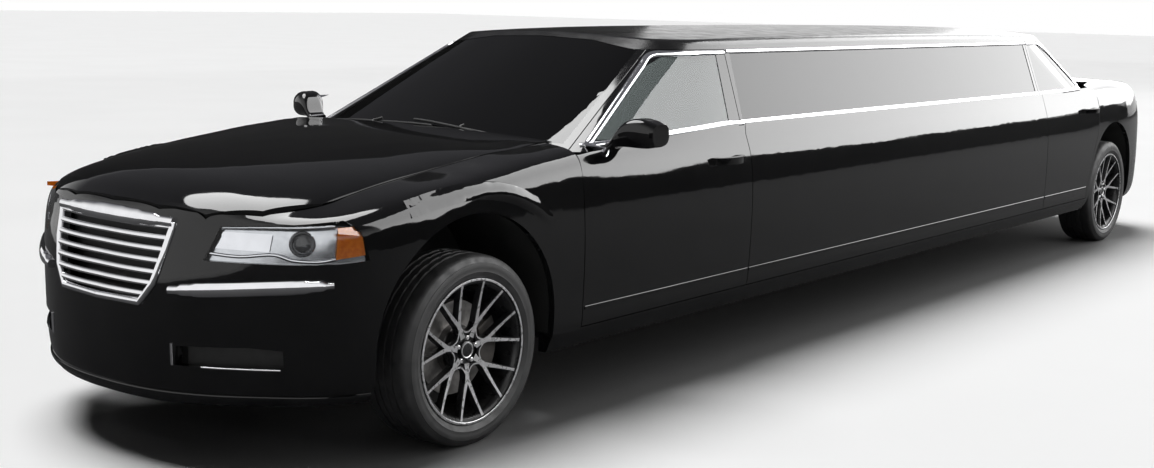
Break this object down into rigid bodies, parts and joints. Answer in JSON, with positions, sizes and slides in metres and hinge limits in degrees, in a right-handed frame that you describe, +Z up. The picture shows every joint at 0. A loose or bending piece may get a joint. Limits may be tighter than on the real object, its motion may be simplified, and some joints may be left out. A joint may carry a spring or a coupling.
{
  "type": "stretched luxury sedan",
  "caption": "Long-wheelbase black limousine with opening doors, hood and boot lid, steered front wheels and a hollow glazed cabin.",
  "frame": {"origin": "on the ground, under the middle of the car's length and width", "axes": "+X towards the nose, +Y to the car's left, +Z up"},
  "size_m": [8.6021, 2.148, 1.503],
  "materials": {
    "paint": "deep gloss black",
    "roof_paint": "satin black",
    "dark_glass": "dark tinted glass",
    "clear_glass": "light green glass",
    "lamp_glass": "clear lamp lens",
    "tail_lamp_glass": "red lamp lens",
    "chrome": "bright",
    "wheel_alloy": "black with machined faces",
    "tyre": "matt black",
    "cast_iron": "dark cast",
    "underbody": "matt black coating",
    "steel": "dull steel",
    "leather": "black leather",
    "trim": "matt black"
  },
  "bodies": {
    "body": {"backlight": "dark_glass", "boot_tub": "underbody", "centre_sides": "paint", "centre_windows": "dark_glass", "dashboard": "trim", "engine": "cast_iron", "engine_bay": "underbody", "exhaust": "steel", "floor_pan": "underbody", "front_bumper": "paint", "front_seats": "leather", "front_subframe": "underbody", "front_wings": "paint", "grille": "chrome", "headlamps": "lamp_glass", "partition": "trim", "prop_shaft": "cast_iron", "rear_axle": "cast_iron", "rear_bench": "leather", "rear_bumper": "paint", "rear_quarters": "paint", "roof": "roof_paint", "side_bench": "leather", "sills": "paint", "tail_lamps": "tail_lamp_glass", "windscreen": "dark_glass", "windscreen_frame": "paint"},
    "front_door_left": {"front_door_left": "paint", "front_door_glass_left": "clear_glass", "mirror_left": "paint", "front_handle_left": "paint"},
    "rear_door_left": {"rear_door_left": "paint", "rear_door_glass_left": "dark_glass", "rear_handle_left": "paint"},
    "knuckle_left": {"knuckle_left": "cast_iron"},
    "front_wheel_left": {"front_wheel_left": "wheel_alloy", "front_tyre_left": "tyre"},
    "rear_wheel_left": {"rear_wheel_left": "wheel_alloy", "rear_tyre_left": "tyre"},
    "front_door_right": {"front_door_right": "paint", "front_door_glass_right": "clear_glass", "mirror_right": "paint", "front_handle_right": "paint"},
    "rear_door_right": {"rear_door_right": "paint", "rear_door_glass_right": "dark_glass", "rear_handle_right": "paint"},
    "knuckle_right": {"knuckle_right": "cast_iron"},
    "front_wheel_right": {"front_wheel_right": "wheel_alloy", "front_tyre_right": "tyre"},
    "rear_wheel_right": {"rear_wheel_right": "wheel_alloy", "rear_tyre_right": "tyre"},
    "hood": {"hood": "paint"},
    "boot_lid": {"boot_lid": "paint"},
    "steering_wheel": {"steering_wheel": "trim"}
  },
  "joints": [
    {"name": "front_door_left_hinge", "type": "hinge", "parent": "body", "child": "front_door_left", "pos_m": [2.75, 0.951, 0.7], "axis": [0, 0, -1], "range_deg": [0, 65]},
    {"name": "rear_door_left_hinge", "type": "hinge", "parent": "body", "child": "rear_door_left", "pos_m": [-2.016, 0.951, 0.7], "axis": [0, 0, -1], "range_deg": [0, 65]},
    {"name": "front_door_right_hinge", "type": "hinge", "parent": "body", "child": "front_door_right", "pos_m": [2.75, -0.951, 0.7], "axis": [0, 0, 1], "range_deg": [0, 65]},
    {"name": "rear_door_right_hinge", "type": "hinge", "parent": "body", "child": "rear_door_right", "pos_m": [-2.016, -0.951, 0.7], "axis": [0, 0, 1], "range_deg": [0, 65]},
    {"name": "hood_hinge", "type": "hinge", "parent": "body", "child": "hood", "pos_m": [2.71, 0, 1.082], "axis": [0, -1, 0], "range_deg": [0, 55]},
    {"name": "boot_lid_hinge", "type": "hinge", "parent": "body", "child": "boot_lid", "pos_m": [-3.133, 0, 1.131], "axis": [0, 1, 0], "range_deg": [0, 75]},
    {"name": "steering_left", "type": "hinge", "parent": "body", "child": "knuckle_left", "pos_m": [3.35, 0.722, 0.352], "axis": [0, 0, 1], "range_deg": [-35, 35]},
    {"name": "front_wheel_left_spin", "type": "hinge", "parent": "knuckle_left", "child": "front_wheel_left", "pos_m": [3.35, 0.8055, 0.352], "axis": [0, 1, 0], "continuous": true},
    {"name": "rear_wheel_left_spin", "type": "hinge", "parent": "body", "child": "rear_wheel_left", "pos_m": [-3.258, 0.81, 0.352], "axis": [0, 1, 0], "continuous": true},
    {"name": "steering_right", "type": "hinge", "parent": "body", "child": "knuckle_right", "pos_m": [3.35, -0.722, 0.352], "axis": [0, 0, 1], "range_deg": [-35, 35]},
    {"name": "front_wheel_right_spin", "type": "hinge", "parent": "knuckle_right", "child": "front_wheel_right", "pos_m": [3.35, -0.8055, 0.352], "axis": [0, 1, 0], "continuous": true},
    {"name": "rear_wheel_right_spin", "type": "hinge", "parent": "body", "child": "rear_wheel_right", "pos_m": [-3.258, -0.81, 0.352], "axis": [0, 1, 0], "continuous": true},
    {"name": "steering_wheel_turn", "type": "hinge", "parent": "body", "child": "steering_wheel", "pos_m": [2.445, 0.38, 0.8], "axis": [-0.9135, 0, 0.4067], "range_deg": [-455, 455]}
  ],
  "couplings": [
    {"joint": "steering_right", "follows": "steering_left", "ratio": 1},
    {"joint": "steering_wheel_turn", "follows": "steering_left", "ratio": 13}
  ]
}
